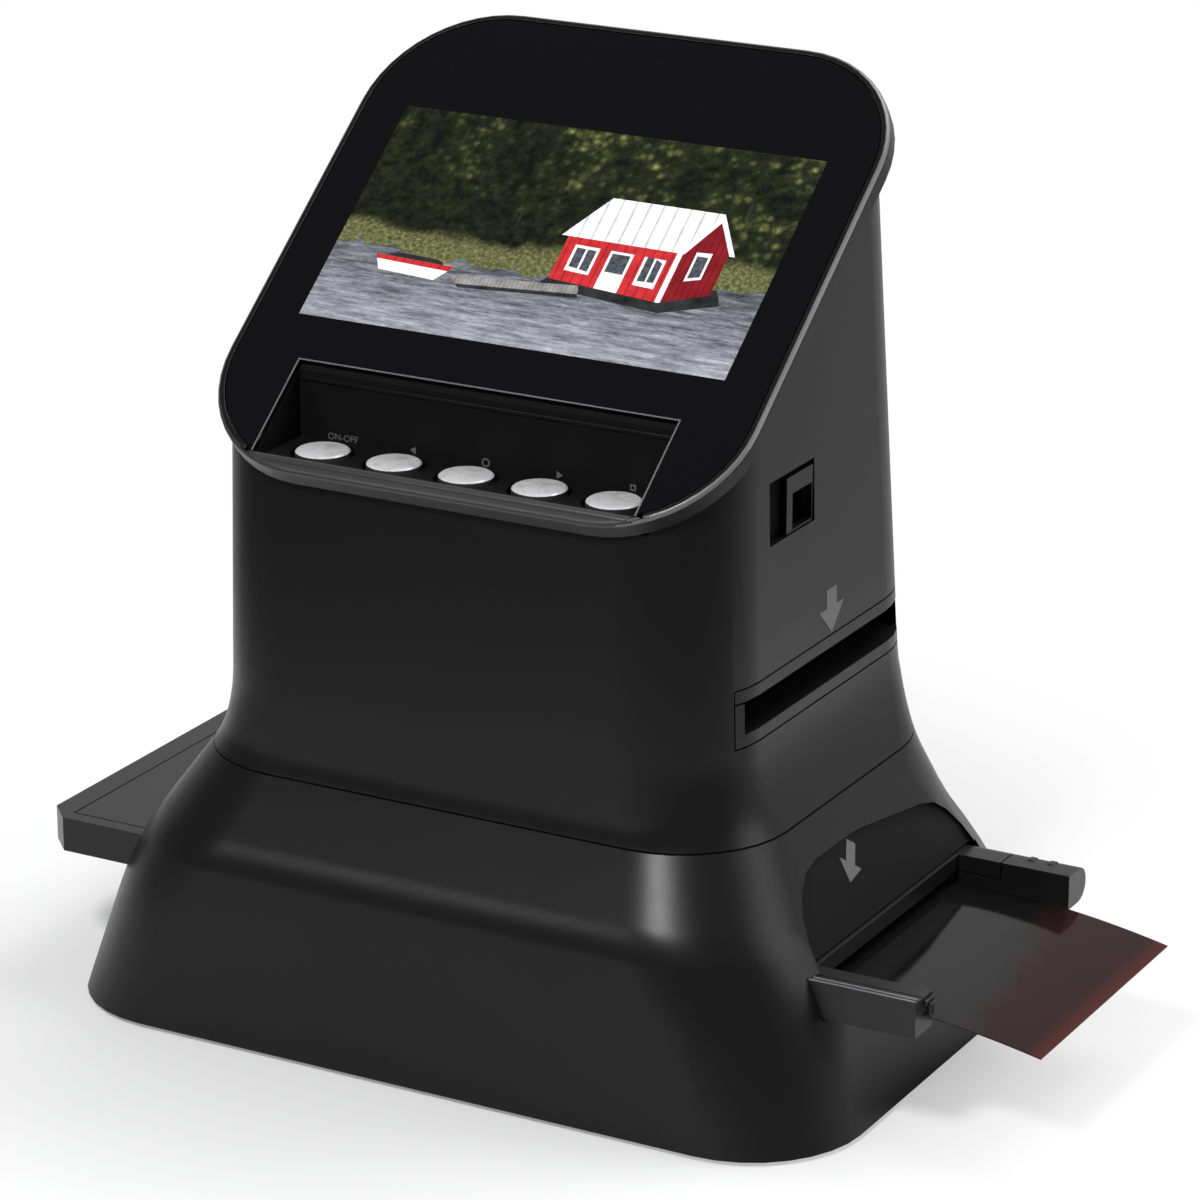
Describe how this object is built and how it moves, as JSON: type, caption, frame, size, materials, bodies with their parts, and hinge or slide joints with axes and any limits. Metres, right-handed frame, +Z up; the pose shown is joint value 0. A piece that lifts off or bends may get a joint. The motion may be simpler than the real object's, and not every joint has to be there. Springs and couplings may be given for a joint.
{
  "type": "film negative scanner",
  "caption": "Stand-alone film scanner: a leaning tower with a sloping screen and round keys on a flared base, with a sliding film holder through the base.",
  "frame": {"origin": "on the ground under the centre of the base, in the scanner's plane of symmetry", "axes": "+Z up, -Y towards the user in front of the sloping panel, +X to the user's right, along the film holder"},
  "size_m": [0.222, 0.1301, 0.1911],
  "materials": {
    "housing": "fine-textured satin black moulding",
    "holder": "satin black moulding",
    "window": "polished, printed black behind",
    "keys": "silver lacquer",
    "film": "clear dark film base",
    "feet": "matt",
    "inner_plastic": "as moulded",
    "white_plastic": "as moulded",
    "board": "solder mask",
    "chip": "as moulded",
    "clear_glass": "polished",
    "steel": "plated sheet"
  },
  "bodies": {
    "housing": {"lower_housing": "housing", "upper_housing": "housing", "panel_bezel": "housing", "panel_window": "window", "keypad_tray": "housing", "slot_channel": "housing", "slot_cover": "housing", "socket_surround": "housing", "foot_front_left": "feet", "foot_front_right": "feet", "foot_rear_left": "feet", "foot_rear_right": "feet", "base_plate": "inner_plastic", "holder_guide": "inner_plastic", "guide_cover": "inner_plastic", "lower_light_shaft": "inner_plastic", "upper_light_shaft": "inner_plastic", "camera_deck": "inner_plastic", "camera_bracket": "inner_plastic", "lens_barrel": "inner_plastic", "lens_glass": "clear_glass", "light_box": "white_plastic", "diffuser": "white_plastic", "socket_tongue": "white_plastic", "led_board": "board", "main_board": "board", "sensor_board": "board", "key_board": "board", "image_sensor": "chip", "key_switch_1": "chip", "key_switch_2": "chip", "key_switch_3": "chip", "key_switch_4": "chip", "key_switch_5": "chip", "screen_glass": "clear_glass", "screen_frame": "steel", "data_socket": "steel", "card_socket": "steel", "base_screw_1": "steel", "base_screw_2": "steel", "base_screw_3": "steel", "base_screw_4": "steel", "board_screw_1": "steel", "board_screw_2": "steel", "board_screw_3": "steel", "bracket_screw_1": "steel", "bracket_screw_2": "steel", "bracket_screw_3": "steel", "bracket_screw_4": "steel"},
    "film_holder": {"holder_base": "holder", "holder_lid": "holder", "holder_hinge_pin": "steel"},
    "film": {"film_strip": "film"},
    "key_1": {"key_1": "keys"},
    "key_2": {"key_2": "keys"},
    "key_3": {"key_3": "keys"},
    "key_4": {"key_4": "keys"},
    "key_5": {"key_5": "keys"}
  },
  "joints": [
    {"name": "holder_slide", "type": "slide", "parent": "housing", "child": "film_holder", "axis": [1, 0, 0], "range_m": [-0.14, 0.14], "deforming": ["film_strip"]},
    {"name": "film_slide", "type": "slide", "parent": "film_holder", "child": "film", "axis": [1, 0, 0], "range_m": [0, 0.1]},
    {"name": "key_1_press", "type": "slide", "parent": "housing", "child": "key_1", "axis": [0, 0, -1], "range_m": [0, 0.0006], "stiffness_N_per_m": 800},
    {"name": "key_2_press", "type": "slide", "parent": "housing", "child": "key_2", "axis": [0, 0, -1], "range_m": [0, 0.0006], "stiffness_N_per_m": 800},
    {"name": "key_3_press", "type": "slide", "parent": "housing", "child": "key_3", "axis": [0, 0, -1], "range_m": [0, 0.0006], "stiffness_N_per_m": 800},
    {"name": "key_4_press", "type": "slide", "parent": "housing", "child": "key_4", "axis": [0, 0, -1], "range_m": [0, 0.0006], "stiffness_N_per_m": 800},
    {"name": "key_5_press", "type": "slide", "parent": "housing", "child": "key_5", "axis": [0, 0, -1], "range_m": [0, 0.0006], "stiffness_N_per_m": 800}
  ]
}
